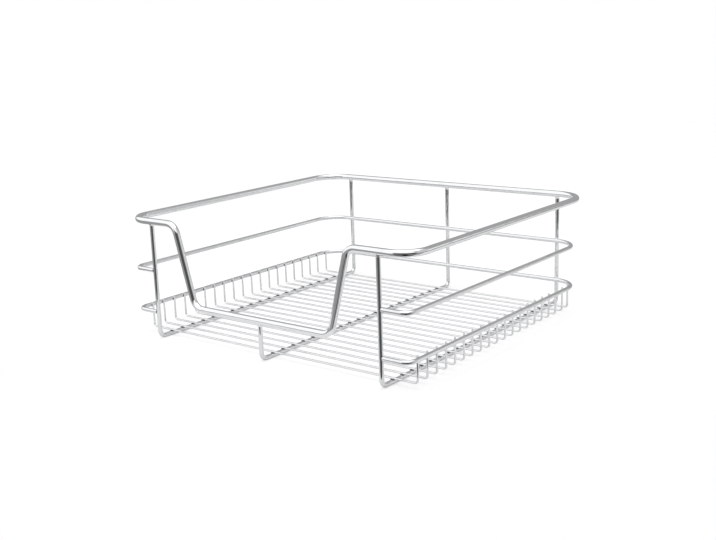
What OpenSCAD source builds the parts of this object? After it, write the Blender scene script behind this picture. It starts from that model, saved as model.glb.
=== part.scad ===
// Pull-out basket for a kitchen base cabinet, welded from chromed steel wire.
// Origin: middle of the footprint, at the underside of the three frame wires.
// +X runs to the right, -Y is the front with the low dip, +Z is up. Millimetres.

/* [Overall] */
// width over the rim
basket_w = 528; // [420:1:620]
// depth over the rim, front to back
basket_d = 490; // [400:1:560]
// height from the underside of the frame wires to the top of the rim
basket_h = 186; // [150:1:240]

/* [Wire] */
// thickness of the rim wire
rim_wire = 10; // [8:0.5:12]
// thickness of the frame wires and the two rings
frame_wire = 6.5; // [5:0.5:8]
// thickness of the cross wires of the tray
cross_wire = 3; // [2.5:0.5:4]
// how far crossing wires sink into each other where they are welded
weld_bite = 0.3; // [0.1:0.05:0.4]
// height of the upset metal round the top of each post
weld_collar = 3; // [2:0.5:5]
// how far that metal stands out all round
weld_swell = 0.8; // [0.4:0.1:1.5]
// how much thinner a wire is in its bends, where it stretches
bend_thinning = 0.04; // [0.02:0.01:0.1]

/* [Rim] */
// bend of the rim at the two front corners
rim_front_bend = 34; // [16:1:42]
// bend of the rim at the two back corners
rim_back_bend = 46; // [20:1:46]
// width of the high part of the front on each side of the dip
dip_ear = 99; // [80:1:130]
// how much the dip narrows on each side from the top down to its bar
dip_taper = 32.5; // [10:0.5:50]
// height of the bar's centre line
dip_bar_z = 59; // [50:1:90]
// bend at the top of the dip
dip_top_bend = 18; // [14:1:28]
// bend at the foot of the dip
dip_foot_bend = 18; // [14:1:30]

/* [Rings] */
// height of the middle ring's centre line
middle_ring_z = 106; // [85:1:130]
// height of the lower ring's centre line
lower_ring_z = 41.5; // [30:0.5:60]
// how far the sides of the rings stand in from the rim's centre line
ring_inset = 6; // [2:0.5:9]
// bend of the rings at the two front corners
ring_front_bend = 14; // [10:1:18]
// bend of the rings at the two back corners
ring_back_bend = 42; // [20:1:44]

/* [Frame wires] */
// how far the left and right frame wires stand in from the sides of the rim
frame_inset = 50; // [46:1:64]
// bend at the foot of each post
foot_bend = 9; // [7:0.5:14]

/* [Tray] */
// first cross wire, measured back from the front posts
first_cross = 24; // [21:1:34]
// last cross wire, measured forward from the back posts
last_cross = 36; // [30:1:60]
// bend at each end of a cross wire
cross_bend = 5; // [4:0.5:10]
// how far the tips stand above the lower ring
tip_rise = 1; // [0.5:0.5:4]
// bevel on a cut wire end
end_bevel = 0.5; // [0.2:0.1:0.8]

/* [Hidden] */
$fn = 48;
cross_count = 20;
rim_x = (basket_w - rim_wire) / 2;
rim_y = (basket_d - rim_wire) / 2;
rim_z = basket_h - rim_wire / 2;
bottom_z = frame_wire / 2;
dip_top_x = rim_x - dip_ear;
dip_bar_x = dip_top_x - dip_taper;
frame_x = rim_x - frame_inset;
ring_x = rim_x - ring_inset;
ring_y = rim_y - frame_wire + weld_bite;
cross_z = frame_wire + cross_wire / 2 - weld_bite;
cross_pitch = (2 * rim_y - first_cross - last_cross) / (cross_count - 1);
tip_z = lower_ring_z + frame_wire / 2 + tip_rise;
tip_inset = (frame_wire + cross_wire) / 2 - weld_bite;
bend_lap = 0.2;
chrome = [0.80, 0.81, 0.83];
chrome_thin = [0.87, 0.88, 0.90];
chrome_rim = [0.72, 0.74, 0.77];

function unit(v) = v / norm(v);
// angle a wire turns through between two directions
function turn(u, v) = acos(max(-1, min(1, u * v)));
// length a bend takes from the straight on either side of its corner
function setback(r, u, v) = r * tan(turn(u, v) / 2);

// straight length of wire from p to q; tip bevels its far end, and tail its near end
module straight(p, q, d, tail = 0, tip = 0) {
  v = q - p;
  h = norm(v);
  translate(p)
    rotate([0, acos(v.z / h), atan2(v.y, v.x)])
      if (tail + tip == 0) cylinder(h = h, d = d);
      else rotate_extrude()
        polygon([[0, 0], [d / 2 - tail, 0], [d / 2, tail], [d / 2, h - tip], [d / 2 - tip, h], [0, h]]);
}

// bend of radius r round the corner p, coming in along u and leaving along v;
// both of its ends reach a little way into the straights
module bend(p, u, v, r, d) {
  a = turn(u, v);
  start = p - u * r * tan(a / 2);
  middle = p + unit(v - u) * r / cos(a / 2);
  e = unit(start - middle);
  n = cross(e, u);
  lap = asin(bend_lap / r);
  multmatrix([
    [e.x, u.x, n.x, middle.x],
    [e.y, u.y, n.y, middle.y],
    [e.z, u.z, n.z, middle.z],
    [0, 0, 0, 1]
  ])
    rotate([0, 0, -lap]) rotate_extrude(angle = a + 2 * lap)
      translate([r, 0]) circle(d = d - bend_thinning);
}

// one wire bent to radius r[i] at each corner p[i]; r is 0 at the two ends of an open wire,
// which are cut with the given bevel
module bent_wire(p, r, d, closed = false, bevel = 0) {
  count = len(p);
  last = count - (closed ? 1 : 2);
  dirs = [for (i = [0:count - 1]) unit(p[(i + 1) % count] - p[i])];
  back = [for (i = [0:count - 1])
    !closed && (i == 0 || i == count - 1) ? 0 : setback(r[i], dirs[(i + count - 1) % count], dirs[i])];
  for (i = [0:last])
    straight(p[i] + dirs[i] * back[i], p[(i + 1) % count] - dirs[i] * back[(i + 1) % count], d,
      !closed && i == 0 ? bevel : 0, !closed && i == last ? bevel : 0);
  for (i = [closed ? 0 : 1:last])
    bend(p[i], dirs[(i + count - 1) % count], dirs[i], r[i], d);
}

module rim_path() {
  bent_wire([
    [rim_x, -rim_y, rim_z], [rim_x, rim_y, rim_z], [-rim_x, rim_y, rim_z], [-rim_x, -rim_y, rim_z],
    [-dip_top_x, -rim_y, rim_z], [-dip_bar_x, -rim_y, dip_bar_z],
    [dip_bar_x, -rim_y, dip_bar_z], [dip_top_x, -rim_y, rim_z]
  ], [
    rim_front_bend, rim_back_bend, rim_back_bend, rim_front_bend,
    dip_top_bend, dip_foot_bend, dip_foot_bend, dip_top_bend
  ], rim_wire, closed = true);
}

module top_rim() {
  color(chrome_rim) rim_path();
}

// C-shaped ring inside the back posts, its two ends butted against the outer sides of the front posts
module ring(z) {
  end_x = frame_x + frame_wire / 2 - weld_bite;
  bent_wire([
    [-end_x, -rim_y, z], [-ring_x, -rim_y, z], [-ring_x, ring_y, z],
    [ring_x, ring_y, z], [ring_x, -rim_y, z], [end_x, -rim_y, z]
  ], [0, ring_front_bend, ring_back_bend, ring_back_bend, ring_front_bend, 0], frame_wire,
    bevel = end_bevel);
}

module middle_ring() {
  color(chrome) ring(middle_ring_z);
}

module lower_ring() {
  color(chrome) ring(lower_ring_z);
}

// front post, bottom run and back post; both tops are shaped to the rim above them
module frame(x, front_z) {
  difference() {
    union() {
      bent_wire([
        [x, -rim_y, front_z], [x, -rim_y, bottom_z], [x, rim_y, bottom_z], [x, rim_y, rim_z]
      ], [0, foot_bend, foot_bend, 0], frame_wire);
      for (top = [[x, -rim_y, front_z], [x, rim_y, rim_z]])
        translate(top - [0, 0, rim_wire / 2 + weld_collar])
          cylinder(h = weld_collar + rim_wire / 4,
            d1 = frame_wire - weld_swell, d2 = frame_wire + 2 * weld_swell);
    }
    rim_path();
    for (top = [[x, -rim_y, front_z], [x, rim_y, rim_z]])
      translate(top - [0, 0, 0.3 * rim_wire])
        cylinder(h = rim_wire, d = 3 * rim_wire);
  }
}

module left_frame_wire() {
  color(chrome) frame(-frame_x, rim_z);
}

module centre_frame_wire() {
  color(chrome) frame(0, dip_bar_z);
}

module right_frame_wire() {
  color(chrome) frame(frame_x, rim_z);
}

// where an upturned end meets the inside of the lower ring, which curves in at its back corners
function tip_x(y) =
  let (from_bend = y - (ring_y - ring_back_bend), reach = ring_back_bend - tip_inset)
  from_bend > 0
    ? ring_x - ring_back_bend + sqrt(reach * reach - from_bend * from_bend)
    : ring_x - tip_inset;

module cross_wire_at(i) {
  y = -rim_y + first_cross + (i - 1) * cross_pitch;
  x = tip_x(y);
  color(chrome_thin)
    bent_wire([[-x, y, tip_z], [-x, y, cross_z], [x, y, cross_z], [x, y, tip_z]],
      [0, cross_bend, cross_bend, 0], cross_wire, bevel = end_bevel);
}

top_rim();
middle_ring();
lower_ring();
left_frame_wire();
centre_frame_wire();
right_frame_wire();
cross_wire_at(1);  // cross_wire_01
cross_wire_at(2);  // cross_wire_02
cross_wire_at(3);  // cross_wire_03
cross_wire_at(4);  // cross_wire_04
cross_wire_at(5);  // cross_wire_05
cross_wire_at(6);  // cross_wire_06
cross_wire_at(7);  // cross_wire_07
cross_wire_at(8);  // cross_wire_08
cross_wire_at(9);  // cross_wire_09
cross_wire_at(10);  // cross_wire_10
cross_wire_at(11);  // cross_wire_11
cross_wire_at(12);  // cross_wire_12
cross_wire_at(13);  // cross_wire_13
cross_wire_at(14);  // cross_wire_14
cross_wire_at(15);  // cross_wire_15
cross_wire_at(16);  // cross_wire_16
cross_wire_at(17);  // cross_wire_17
cross_wire_at(18);  // cross_wire_18
cross_wire_at(19);  // cross_wire_19
cross_wire_at(20);  // cross_wire_20
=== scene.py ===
import math
from itertools import pairwise

import bmesh
import bpy
from mathutils import Matrix, Vector


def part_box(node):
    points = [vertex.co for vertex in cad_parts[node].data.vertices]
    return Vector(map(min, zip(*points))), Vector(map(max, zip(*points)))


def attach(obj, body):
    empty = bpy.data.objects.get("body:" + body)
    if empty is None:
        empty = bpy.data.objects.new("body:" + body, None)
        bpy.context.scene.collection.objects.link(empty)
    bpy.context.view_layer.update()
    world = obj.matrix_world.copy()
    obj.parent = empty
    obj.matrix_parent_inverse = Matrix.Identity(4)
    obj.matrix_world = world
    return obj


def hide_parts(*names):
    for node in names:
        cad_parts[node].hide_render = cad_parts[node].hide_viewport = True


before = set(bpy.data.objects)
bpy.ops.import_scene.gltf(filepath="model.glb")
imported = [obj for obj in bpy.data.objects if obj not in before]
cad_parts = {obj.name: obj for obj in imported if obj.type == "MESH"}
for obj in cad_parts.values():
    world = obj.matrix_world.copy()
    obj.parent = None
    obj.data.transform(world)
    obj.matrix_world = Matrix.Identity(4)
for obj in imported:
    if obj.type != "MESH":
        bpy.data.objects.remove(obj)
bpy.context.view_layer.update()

scene = bpy.context.scene
MM = 0.001

# ---------------------------------------------------------------- wire stock
RIM_WIRE, FRAME_WIRE, CROSS_WIRE = 10 * MM, 6.5 * MM, 3 * MM
RIM_SIDES, FRAME_SIDES, CROSS_SIDES = 48, 36, 20
WELD_BITE = 0.3 * MM      # how far crossing wires sink into each other
CUT_EASE = 0.5 * MM       # rounding on a cut end
EASE_TURNS = [math.radians(degrees) for degrees in (0, 30, 60, 90)]
BUTT_GAP = 0.1 * MM       # vertices nearer than this are joined at a butt weld
CREASE = math.radians(50)     # edges sharper than this aren't smoothed over

# ---------------------------------------------------------------- bends
RIM_FRONT_BEND, RIM_BACK_BEND, DIP_BEND = 34 * MM, 46 * MM, 18 * MM
RING_FRONT_BEND, RING_BACK_BEND = 14 * MM, 42 * MM
FOOT_BEND, CROSS_BEND = 9 * MM, 5 * MM
BEND_STEP = math.radians(6)
LEAST_BEND_STEPS = 8
HOLD = 1 * MM             # short length next to a bend that keeps the straight true

# ---------------------------------------------------------------- where the wires run
DIP_EAR = 99 * MM         # high part of the front on each side of the dip
DIP_TAPER = 32.5 * MM     # how much each side of the dip leans in, from its top to its bar
RING_INSET = 6 * MM       # from the rim's centre line in to the rings' sides
FRAME_INSET = 50 * MM     # from the rim's centre line in to the side frame wires
CROSS_COUNT = 20

rim_low, rim_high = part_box("top_rim")
RIM_X, RIM_Y, RIM_Z = (edge - RIM_WIRE / 2 for edge in rim_high)
DIP_BAR_Z = rim_low.z + RIM_WIRE / 2
DIP_TOP_X = RIM_X - DIP_EAR
DIP_BAR_X = DIP_TOP_X - DIP_TAPER
RING_X, RING_Y = RIM_X - RING_INSET, RIM_Y - FRAME_WIRE + WELD_BITE
FRAME_X = RIM_X - FRAME_INSET
RING_END_X = FRAME_X + FRAME_WIRE / 2 - WELD_BITE

UP, RIGHT = Vector((0, 0, 1)), Vector((1, 0, 0))


# ---------------------------------------------------------------- drawing and bending wire
class Wire:
    """A length of round wire, drawn on from a circle by straights, bends and tapers.
    Each vertex keeps its place on the straightened wire and whether it lies in a bend."""

    def __init__(self, thickness, sides, start, heading, cut=False):
        self.bm = bmesh.new()
        self.place = self.bm.verts.layers.float_vector.new("wire_place")
        self.bent = self.bm.verts.layers.float.new("bent")
        self.radius = thickness / 2 - (CUT_EASE if cut else 0)
        self.at, self.heading, self.run = start.copy(), heading.copy(), 0.0
        seat = Matrix.Translation(start) @ heading.to_track_quat("Z", "Y").to_matrix().to_4x4()
        circle = bmesh.ops.create_circle(
            self.bm, cap_ends=cut, segments=sides, radius=self.radius, matrix=seat)
        self.ring = self.first_ring = circle["verts"]
        self.edges = self.first_edges = self.bm.edges[:]
        for vert in self.ring:
            side = seat.inverted() @ vert.co
            vert[self.place] = (side.x, side.y, 0)
        if cut:
            self.ease(outward=True)

    def draw(self, move, length, bent=0.0):
        """Draws the open end on by one move, which uses up a length of wire."""
        drawn = bmesh.ops.extrude_edge_only(self.bm, edges=self.edges)["geom"]
        self.ring = [part for part in drawn if isinstance(part, bmesh.types.BMVert)]
        new = set(self.ring)
        self.edges = [part for part in drawn
                      if isinstance(part, bmesh.types.BMEdge) and new.issuperset(part.verts)]
        bmesh.ops.transform(self.bm, matrix=move, verts=self.ring)
        self.run += length
        for vert in self.ring:
            x, y, _ = vert[self.place]
            vert[self.place] = (x, y, self.run)
            vert[self.bent] = bent

    def straight(self, length):
        for part in (HOLD, length - 2 * HOLD, HOLD):
            self.draw(Matrix.Translation(self.heading * part), part)
        self.at = self.at + self.heading * length

    def bend(self, heading, radius):
        angle, axis = self.heading.angle(heading), self.heading.cross(heading).normalized()
        centre = self.at + axis.cross(self.heading) * radius
        steps = max(LEAST_BEND_STEPS, round(angle / BEND_STEP))
        step = angle / steps
        for _ in range(steps):
            self.draw(about(centre, Matrix.Rotation(step, 4, axis)), radius * step, bent=1.0)
        self.at = about(centre, Matrix.Rotation(angle, 4, axis)) @ self.at
        self.heading = heading

    def taper(self, length, radius):
        beyond = self.at + self.heading * length
        narrow = Matrix.Scale(radius / self.radius, 4)
        self.draw(Matrix.Translation(beyond) @ narrow @ Matrix.Translation(-self.at), length)
        self.at, self.radius = beyond, radius

    def ease(self, outward):
        """Rounds the edge of a cut end, outward from its flat or inward to it."""
        flat = self.radius if outward else self.radius - CUT_EASE
        profile = [(CUT_EASE * (1 - math.cos(turn)), flat + CUT_EASE * math.sin(turn))
                   for turn in EASE_TURNS]
        if not outward:
            profile = [(CUT_EASE - along, radius) for along, radius in reversed(profile)]
        for (before, _), (along, radius) in pairwise(profile):
            self.taper(along - before, radius)

    def run_through(self, corners, end):
        """Draws on through corners, each a point and its bend radius, as far as the end."""
        points = [Vector(point) for point, _ in corners] + [Vector(end)]
        for (corner, after), (_, radius) in zip(pairwise(points), corners):
            heading = (after - corner).normalized()
            setback = radius * math.tan(self.heading.angle(heading) / 2)
            self.straight((corner - self.at).length - setback)
            self.bend(heading, radius)
        self.straight((points[-1] - self.at).length)

    def cap(self, edges):
        """Closes an end with one flat face."""
        bmesh.ops.contextual_create(self.bm, geom=edges)

    def join_ends(self):
        """Butt welds the last circle to the first."""
        bmesh.ops.remove_doubles(self.bm, verts=[*self.ring, *self.first_ring], dist=BUTT_GAP)


def about(centre, turn):
    return Matrix.Translation(centre) @ turn @ Matrix.Translation(-centre)


def middle(node):
    """The middle of a node's box."""
    return sum(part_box(node), Vector()) / 2


def finished_piece(name, bm, finish, slot, *nodes):
    """Puts a finished mesh on the basket, in place of the given nodes."""
    bmesh.ops.recalc_face_normals(bm, faces=bm.faces)
    mesh = bpy.data.meshes.new(name)
    bm.to_mesh(mesh)
    bm.free()
    mesh.shade_smooth()
    mesh.set_sharp_from_angle(angle=CREASE)
    mesh.materials.append(finish)
    piece = bpy.data.objects.new(name, mesh)
    scene.collection.objects.link(piece)
    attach(piece, "root")
    if nodes:
        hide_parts(*nodes)


# ---------------------------------------------------------------- shader nodes
class Value:
    """A shader socket in an expression: each operator adds the Math node for it."""

    def __init__(self, nodes, socket):
        self.nodes, self.socket = nodes, socket

    def math(self, operation, first, second):
        return self.nodes.add("ShaderNodeMath", {"operation": operation}, {0: first, 1: second})

    def __add__(self, other):
        return self.math("ADD", self, other)

    def __radd__(self, other):
        return self.math("ADD", other, self)

    def __sub__(self, other):
        return self.math("SUBTRACT", self, other)

    def __rsub__(self, other):
        return self.math("SUBTRACT", other, self)

    def __mul__(self, other):
        return self.math("MULTIPLY", self, other)

    def __rmul__(self, other):
        return self.math("MULTIPLY", other, self)


class Nodes:
    """The shader nodes of one material or of the world."""

    def __init__(self, owner):
        owner.use_nodes = True
        self.tree = owner.node_tree
        self.tree.nodes.clear()

    def add(self, kind, settings=None, inputs=None, output=0):
        """Adds a node: its settings first, then the values or links of its sockets."""
        node = self.tree.nodes.new(kind)
        for name, value in (settings or {}).items():
            setattr(node, name, value)
        for name, value in (inputs or {}).items():
            if isinstance(value, Value):
                self.tree.links.new(value.socket, node.inputs[name])
            else:
                node.inputs[name].default_value = value
        return Value(self, node.outputs[output] if node.outputs else None)

    def noise(self, vector, stretch, detail=2.0):
        """Noise from -1 to 1, with its features stretched to the given lengths."""
        scaled = self.add("ShaderNodeVectorMath", {"operation": "DIVIDE"}, {0: vector, 1: stretch})
        fac = self.add("ShaderNodeTexNoise", inputs={"Vector": scaled, "Scale": 1.0, "Detail": detail})
        return fac * 2 - 1

    def rise(self, value, low, high):
        """A smooth step from 0 at low to 1 at high."""
        return self.add("ShaderNodeMapRange", {"interpolation_type": "SMOOTHSTEP"},
                        {"Value": value, "From Min": low, "From Max": high})

    def tint(self, factor, first, second):
        """The first colour at a factor of 0, the second at 1."""
        return self.add("ShaderNodeMix", {"data_type": "RGBA"},
                        {"Factor": factor, "A": (*first, 1), "B": (*second, 1)}, output="Result")

    def relief(self, height):
        """The surface raised by a height in metres."""
        return self.add("ShaderNodeBump", inputs={"Height": height, "Distance": 1.0, "Strength": 1.0})

    def blend(self, factor, first, second):
        return self.add("ShaderNodeMixShader", inputs={0: factor, 1: first, 2: second})


def grey(level):
    return (level, level, level)


# ---------------------------------------------------------------- chrome
# sizes of the marks: two across the wire and one along it, or the same all round
DIE_LINE, WAVE = (0.25 * MM, 0.25 * MM, 30 * MM), (7 * MM, 7 * MM, 18 * MM)
PEEL, SMUDGE = (0.7 * MM,) * 3, (18 * MM,) * 3
DIE_LINE_HEIGHT, WAVE_HEIGHT, PEEL_HEIGHT = 0.0016 * MM, 0.13 * MM, 0.004 * MM
SMUDGE_FROM, SMUDGE_FULL = -0.1, 0.5
SMUDGE_SHADE = 0.97
DIE_LINE_HAZE, SMUDGE_HAZE, BEND_HAZE = 0.01, 0.04, 0.02       # added roughness
WELD_LUMP, WELD_LUMP_HEIGHT = (1.1 * MM,) * 3, 0.08 * MM
# where the welds' painted shade in the crevices fades out onto the lumps
CREVICE_SHADE_FROM, LUMP_FULL = -0.5, 0.5
WELD_DULL, LUMP_HAZE = 0.28, 0.06


def chrome_on_wire(name, plate_colour, dull):
    """Bright chrome plate on drawn wire. The drawing die leaves fine lines along the wire, the plate
    is a little wavy, a bend opens it to a fine orange peel, and wiping leaves faint smudges."""
    material = bpy.data.materials.new(name)
    nodes = Nodes(material)
    place = nodes.add("ShaderNodeAttribute", {"attribute_name": "wire_place"}, output="Vector")
    bent = nodes.add("ShaderNodeAttribute", {"attribute_name": "bent"}, output="Fac")
    body = nodes.add("ShaderNodeTexCoord", output="Object")
    die_lines = nodes.noise(place, DIE_LINE)
    waves = nodes.noise(place, WAVE, detail=1.0)
    peel = nodes.noise(body, PEEL, detail=1.0)
    smudges = nodes.rise(nodes.noise(body, SMUDGE, detail=4.0), SMUDGE_FROM, SMUDGE_FULL)
    height = die_lines * DIE_LINE_HEIGHT + waves * WAVE_HEIGHT + peel * bent * PEEL_HEIGHT
    smudged = [SMUDGE_SHADE * part for part in plate_colour]
    plate = nodes.add("ShaderNodeBsdfPrincipled", inputs={
        "Base Color": nodes.tint(smudges, plate_colour, smudged),
        "Metallic": 1.0,
        "Normal": nodes.relief(height),
        "Roughness": dull + smudges * SMUDGE_HAZE + bent * BEND_HAZE + die_lines * DIE_LINE_HAZE})
    nodes.add("ShaderNodeOutputMaterial", inputs={"Surface": plate})
    return material


def chrome_on_welds_with_painted_shade(name, crevice_shade, lump_shade):
    """Chrome plate over weld metal, rougher than on drawn wire and lumpy. Its two greys are painted
    shade,
    far darker than chrome: the darker one in the crevices between the lumps, the lighter one on the
    lumps."""
    material = bpy.data.materials.new(name)
    nodes = Nodes(material)
    body = nodes.add("ShaderNodeTexCoord", output="Object")
    lumps = nodes.noise(body, WELD_LUMP)
    out_of_crevice_shade = nodes.rise(lumps, CREVICE_SHADE_FROM, LUMP_FULL)
    plate = nodes.add("ShaderNodeBsdfPrincipled", inputs={
        "Base Color": nodes.tint(out_of_crevice_shade, grey(crevice_shade), grey(lump_shade)),
        "Metallic": 1.0,
        "Normal": nodes.relief(lumps * WELD_LUMP_HEIGHT),
        "Roughness": WELD_DULL + lumps * LUMP_HAZE})
    nodes.add("ShaderNodeOutputMaterial", inputs={"Surface": plate})
    return material


# the plate on the thin wires comes out of the bath a little greyer than on the rim
RIM_PLATE, THIN_WIRE_PLATE = (0.93, 0.94, 0.95), (0.89, 0.90, 0.91)
rim_finish = chrome_on_wire("rim_chrome", RIM_PLATE, dull=0.07)
ring_finish = chrome_on_wire("ring_chrome", THIN_WIRE_PLATE, dull=0.08)
frame_finish = chrome_on_wire("frame_chrome", THIN_WIRE_PLATE, dull=0.09)
tray_finish = chrome_on_wire("tray_chrome", THIN_WIRE_PLATE, dull=0.12)
# the weld beads' dark greys are painted shade, for the shade where wires cross and meet
crossing_weld_painted_shade = chrome_on_welds_with_painted_shade("crossing_weld_chrome_painted_shade", crevice_shade=0.05, lump_shade=0.22)
tip_weld_painted_shade = chrome_on_welds_with_painted_shade("tip_weld_chrome_painted_shade", crevice_shade=0.14, lump_shade=0.40)


# ---------------------------------------------------------------- rim
def top_rim():
    """One closed wire, butt welded in its back run between two posts, with the dip in its front."""
    seam = Vector((-FRAME_X / 2, RIM_Y, RIM_Z))
    wire = Wire(RIM_WIRE, RIM_SIDES, seam, -RIGHT)
    wire.run_through([
        ((-RIM_X, RIM_Y, RIM_Z), RIM_BACK_BEND), ((-RIM_X, -RIM_Y, RIM_Z), RIM_FRONT_BEND),
        ((-DIP_TOP_X, -RIM_Y, RIM_Z), DIP_BEND), ((-DIP_BAR_X, -RIM_Y, DIP_BAR_Z), DIP_BEND),
        ((DIP_BAR_X, -RIM_Y, DIP_BAR_Z), DIP_BEND), ((DIP_TOP_X, -RIM_Y, RIM_Z), DIP_BEND),
        ((RIM_X, -RIM_Y, RIM_Z), RIM_FRONT_BEND), ((RIM_X, RIM_Y, RIM_Z), RIM_BACK_BEND)], seam)
    wire.join_ends()
    finished_piece("chromed_top_rim", wire.bm, rim_finish, "rim_chrome", "top_rim")


# ---------------------------------------------------------------- rings
def ring(node):
    """A C-shaped wire whose cut ends butt against the outer sides of the front posts."""
    z = middle(node).z
    wire = Wire(FRAME_WIRE, FRAME_SIDES, Vector((-RING_END_X, -RIM_Y, z)), -RIGHT, cut=True)
    wire.run_through([
        ((-RING_X, -RIM_Y, z), RING_FRONT_BEND), ((-RING_X, RING_Y, z), RING_BACK_BEND),
        ((RING_X, RING_Y, z), RING_BACK_BEND), ((RING_X, -RIM_Y, z), RING_FRONT_BEND)],
        (RING_END_X + CUT_EASE, -RIM_Y, z))
    wire.ease(outward=False)
    wire.cap(wire.edges)
    finished_piece("chromed_" + node, wire.bm, ring_finish, "ring_chrome", node)


# ---------------------------------------------------------------- frame wires
# upset metal at the top of a post: depth below the rim's centre line, and radius
POST_COLLAR = [(2.2 * MM, 4.15 * MM), (4.2 * MM, 3.95 * MM), (5.2 * MM, 3.6 * MM),
               (6.2 * MM, 3.35 * MM), (7.4 * MM, FRAME_WIRE / 2)]


def frame_wire(node):
    """Front post, bottom run and back post, both tops upset into the underside of the rim."""
    x, foot_z = middle(node).x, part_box(node)[0].z + FRAME_WIRE / 2
    front_z = DIP_BAR_Z if abs(x) < DIP_BAR_X else RIM_Z
    (top_depth, top_radius), (collar_depth, _) = POST_COLLAR[0], POST_COLLAR[-1]
    wire = Wire(2 * top_radius, FRAME_SIDES, Vector((x, -RIM_Y, front_z - top_depth)), -UP)
    for (above, _), (below, radius) in pairwise(POST_COLLAR):
        wire.taper(below - above, radius)
    wire.run_through([((x, -RIM_Y, foot_z), FOOT_BEND), ((x, RIM_Y, foot_z), FOOT_BEND)],
                     (x, RIM_Y, RIM_Z - collar_depth))
    for (below, _), (above, radius) in pairwise(reversed(POST_COLLAR)):
        wire.taper(below - above, radius)
    wire.cap(wire.edges)
    wire.cap(wire.first_edges)
    finished_piece("chromed_" + node, wire.bm, frame_finish, "frame_chrome", node)


# ---------------------------------------------------------------- tray
def cross_wire(node):
    """Lies across the three frame wires, both cut ends bent up inside the lower ring."""
    low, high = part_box(node)
    x, y, z = high.x - CROSS_WIRE / 2, middle(node).y, low.z + CROSS_WIRE / 2
    wire = Wire(CROSS_WIRE, CROSS_SIDES, Vector((-x, y, high.z)), -UP, cut=True)
    wire.run_through([((-x, y, z), CROSS_BEND), ((x, y, z), CROSS_BEND)], (x, y, high.z - CUT_EASE))
    wire.ease(outward=False)
    wire.cap(wire.edges)
    finished_piece("chromed_" + node, wire.bm, tray_finish, "tray_chrome", node)


# ---------------------------------------------------------------- weld beads
# half the length of each bead along X, Y and Z
TRAY_BEAD, TIP_BEAD = (3.2 * MM, 4.2 * MM, 1.3 * MM), (0.9 * MM, 3.2 * MM, 2.6 * MM)
RING_BACK_BEAD, RING_END_BEAD = (3.2 * MM, 1.1 * MM, 3.2 * MM), (1.1 * MM, 3.2 * MM, 3.6 * MM)
BEAD_SIDES, BEAD_LEVELS = 10, 5


def weld_beads(name, beads, finish, slot):
    """Metal squeezed out where wires meet, as small flattened beads: each a place and its size."""
    bm = bmesh.new()
    for place, size in beads:
        seat = Matrix.Translation(place) @ Matrix.Diagonal((*size, 1))
        bmesh.ops.create_uvsphere(
            bm, u_segments=BEAD_SIDES, v_segments=BEAD_LEVELS, radius=1.0, matrix=seat)
    finished_piece(name, bm, finish, slot)


# ---------------------------------------------------------------- the basket
ring_nodes = ["middle_ring", "lower_ring"]
cross_nodes = [f"cross_wire_{number:02d}" for number in range(1, CROSS_COUNT + 1)]

top_rim()
for node in ring_nodes:
    ring(node)
for side in ("left", "centre", "right"):
    frame_wire(side + "_frame_wire")
for node in cross_nodes:
    cross_wire(node)

frame_lines = (-FRAME_X, 0, FRAME_X)
rows = [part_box(node) for node in cross_nodes]
ring_levels = [middle(node).z for node in ring_nodes]
lower_level = ring_levels[-1]

# where the cross wires lie on the frame wires
weld_beads("tray_welds", [
    ((x, (low.y + high.y) / 2, low.z + WELD_BITE / 2), TRAY_BEAD)
    for low, high in rows for x in frame_lines], crossing_weld_painted_shade, "tray_chrome")

# where their upturned ends touch the lower ring
weld_beads("tip_welds", [
    ((side * (high.x - WELD_BITE / 2), (low.y + high.y) / 2, lower_level), TIP_BEAD)
    for low, high in rows for side in (-1, 1)], tip_weld_painted_shade, "tray_chrome")

# where the rings cross the back posts, and where their ends butt against the front posts
touch_x, touch_y = FRAME_X + FRAME_WIRE / 2, (RIM_Y + RING_Y) / 2
back_beads = [((x, touch_y, z), RING_BACK_BEAD) for z in ring_levels for x in frame_lines]
end_beads = [((x, -RIM_Y, z), RING_END_BEAD) for z in ring_levels for x in (-touch_x, touch_x)]
weld_beads("ring_welds", back_beads + end_beads, crossing_weld_painted_shade, "ring_chrome")

# ---------------------------------------------------------------- camera
CAMERA_AT = Vector((0.9717, -1.2539, 0.46245))
CAMERA_AZIMUTH, CAMERA_ELEVATION, CAMERA_ROLL = (math.radians(a) for a in (-51.895, 13.492, -1.967))
CAMERA_LENS = 52.58
QUARTER_TURN = math.pi / 2

camera = bpy.data.objects.new("camera", bpy.data.cameras.new("camera"))
camera.data.lens = CAMERA_LENS
camera.matrix_world = (
    Matrix.Translation(CAMERA_AT) @ Matrix.Rotation(CAMERA_AZIMUTH + QUARTER_TURN, 4, "Z")
    @ Matrix.Rotation(QUARTER_TURN - CAMERA_ELEVATION, 4, "X") @ Matrix.Rotation(CAMERA_ROLL, 4, "Z"))
scene.collection.objects.link(camera)
scene.camera = camera

# ---------------------------------------------------------------- studio
TABLE_TURN = math.radians(11.5)
TABLE_AZIMUTH = CAMERA_AZIMUTH - TABLE_TURN
# the table's edges, from the basket's middle: along its front edge, and square to that edge
TABLE_LEFT, TABLE_RIGHT = -0.45, 0.95
TABLE_BACK, TABLE_FRONT = -3.0, 0.35
SHADE_RAMP_BACK, SHADE_RAMP_FRONT = -0.3, 0.3     # where the painted shade on the paper starts and ends, from the same middle
BACK_PAINTED_SHADE, FRONT_PAINTED_SHADE = 0.73, 0.80        # the paper's grey with painted shade, greyer towards the back
SHADOW_SHARE, BURNT_OUT = 0.55, 0.52        # how the camera sees shadows on the overexposed table


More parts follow.
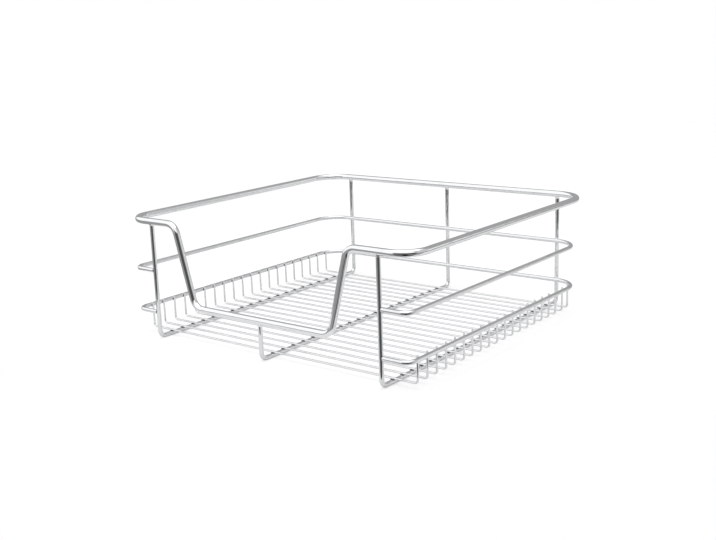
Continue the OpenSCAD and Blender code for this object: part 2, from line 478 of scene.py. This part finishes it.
def table_with_painted_shade():
    """A table top under white paper, with painted shade that makes the paper greyer towards the back.
    Its front edge is turned a little from the camera, and its front and left edges are close to the
    basket. The camera overexposes it to plain white with a trace of shadow."""
    width, depth = TABLE_RIGHT - TABLE_LEFT, TABLE_FRONT - TABLE_BACK
    centre = Vector(((TABLE_FRONT + TABLE_BACK) / 2, (TABLE_RIGHT + TABLE_LEFT) / 2, 0))
    turned = Matrix.Rotation(TABLE_AZIMUTH, 4, "Z")
    bm = bmesh.new()
    bmesh.ops.create_grid(
        bm, x_segments=1, y_segments=1, size=0.5,
        matrix=turned @ Matrix.Translation(centre) @ Matrix.Diagonal((depth, width, 1, 1)))
    mesh = bpy.data.meshes.new("table")
    bm.to_mesh(mesh)
    bm.free()

    material = bpy.data.materials.new("paper_with_painted_shade")
    nodes = Nodes(material)
    place = nodes.add("ShaderNodeTexCoord", output="Object")
    nearer = nodes.add("ShaderNodeVectorMath", {"operation": "DOT_PRODUCT"},
                       {0: place, 1: turned @ RIGHT}, output="Value")
    # painted shade: the paper is made greyer towards the back, as if less light fell there
    shade_ramp = nodes.rise(nearer, SHADE_RAMP_BACK, SHADE_RAMP_FRONT)
    painted_shade_tone = nodes.tint(shade_ramp, grey(BACK_PAINTED_SHADE), grey(FRONT_PAINTED_SHADE))
    paper = nodes.add("ShaderNodeBsdfDiffuse", inputs={"Color": painted_shade_tone})
    shaded = nodes.add("ShaderNodeBsdfDiffuse", inputs={"Color": (*grey(SHADOW_SHARE), 1)})
    glow = nodes.add("ShaderNodeEmission", inputs={"Color": (1, 1, 1, 1), "Strength": BURNT_OUT})
    overexposed = nodes.add("ShaderNodeAddShader", inputs={0: shaded, 1: glow})
    seen = nodes.add("ShaderNodeLightPath", output="Is Camera Ray")
    nodes.add("ShaderNodeOutputMaterial", inputs={"Surface": nodes.blend(seen, paper, overexposed)})
    mesh.materials.append(material)
    table = bpy.data.objects.new("table", mesh)
    scene.collection.objects.link(table)


ROOM_LEVEL, SEEN_LEVEL = 1.05, 1.0
DOWN = -95        # under the lowest height there is, so that a region reaches all the way down
# regions of the room, each over those before it: its bearing and its height above the horizon in
# degrees, each from, to and how softly it ends, and how bright it is
ROOM_REGIONS = [
    ((-15, 60, 6), (DOWN, 52, 6), 0.57),        # grey wall on the right
    ((60, 165, 4), (DOWN, 52, 5), 0.37),        # darker wall on the far side
    ((45, 57, 3), (1, 14, 2), 1.00),            # low window near the corner between them
    (None, (DOWN, 1.5, 1.5), 0.32),             # dim floor, all round
    ((-98, -9, 8), (-24, 20, 5), 0.08),         # dark corner where the camera stands
    ((-62, -42, 4), (DOWN, -19, 3), 0.03),      # darker strip of floor under the camera
    ((-100, -5, 8), (DOWN, -42, 4), 0.02)]      # unlit floor next to the table


def soft_room():
    """A bright room: white ceiling and left side, and the greyer regions listed above. The camera
    sees it plain white."""
    world = bpy.data.worlds.new("soft_room")
    scene.world = world
    nodes = Nodes(world)
    way = nodes.add("ShaderNodeTexCoord", output="Generated")
    x, y, z = (nodes.add("ShaderNodeSeparateXYZ", inputs={0: way}, output=axis) for axis in "XYZ")
    per_radian = math.degrees(1)
    bearing = nodes.add("ShaderNodeMath", {"operation": "ARCTAN2"}, {0: y, 1: x}) * per_radian
    height = nodes.add("ShaderNodeMath", {"operation": "ARCSINE"}, {0: z}) * per_radian

    def span(value, low, high, soft):
        past_low = nodes.rise(value, low - soft, low + soft)
        past_high = nodes.rise(value, high - soft, high + soft)
        return past_low * (1 - past_high)

    def light(level):
        return nodes.add("ShaderNodeBackground", inputs={"Color": (*grey(level), 1), "Strength": 1.0})

    room = light(ROOM_LEVEL)
    for bearings, heights, level in ROOM_REGIONS:
        region = span(height, *heights)
        if bearings:
            region = span(bearing, *bearings) * region
        room = nodes.blend(region, room, light(level))
    seen = nodes.add("ShaderNodeLightPath", output="Is Camera Ray")
    nodes.add("ShaderNodeOutputWorld", inputs={"Surface": nodes.blend(seen, room, light(SEEN_LEVEL))})


LAMP_AT, LAMP_SIZE, LAMP_RADIANCE = (0.2, -0.1, 2.4), 2.0, 1.0


def overhead_light():
    """A large soft lamp above the basket."""
    lamp = bpy.data.lights.new("overhead", "AREA")
    lamp.size = LAMP_SIZE
    lamp.energy = math.pi * LAMP_SIZE ** 2 * LAMP_RADIANCE
    light = bpy.data.objects.new("overhead", lamp)
    light.location = LAMP_AT
    scene.collection.objects.link(light)


table_with_painted_shade()
soft_room()
overhead_light()
scene.view_settings.view_transform = "Standard"
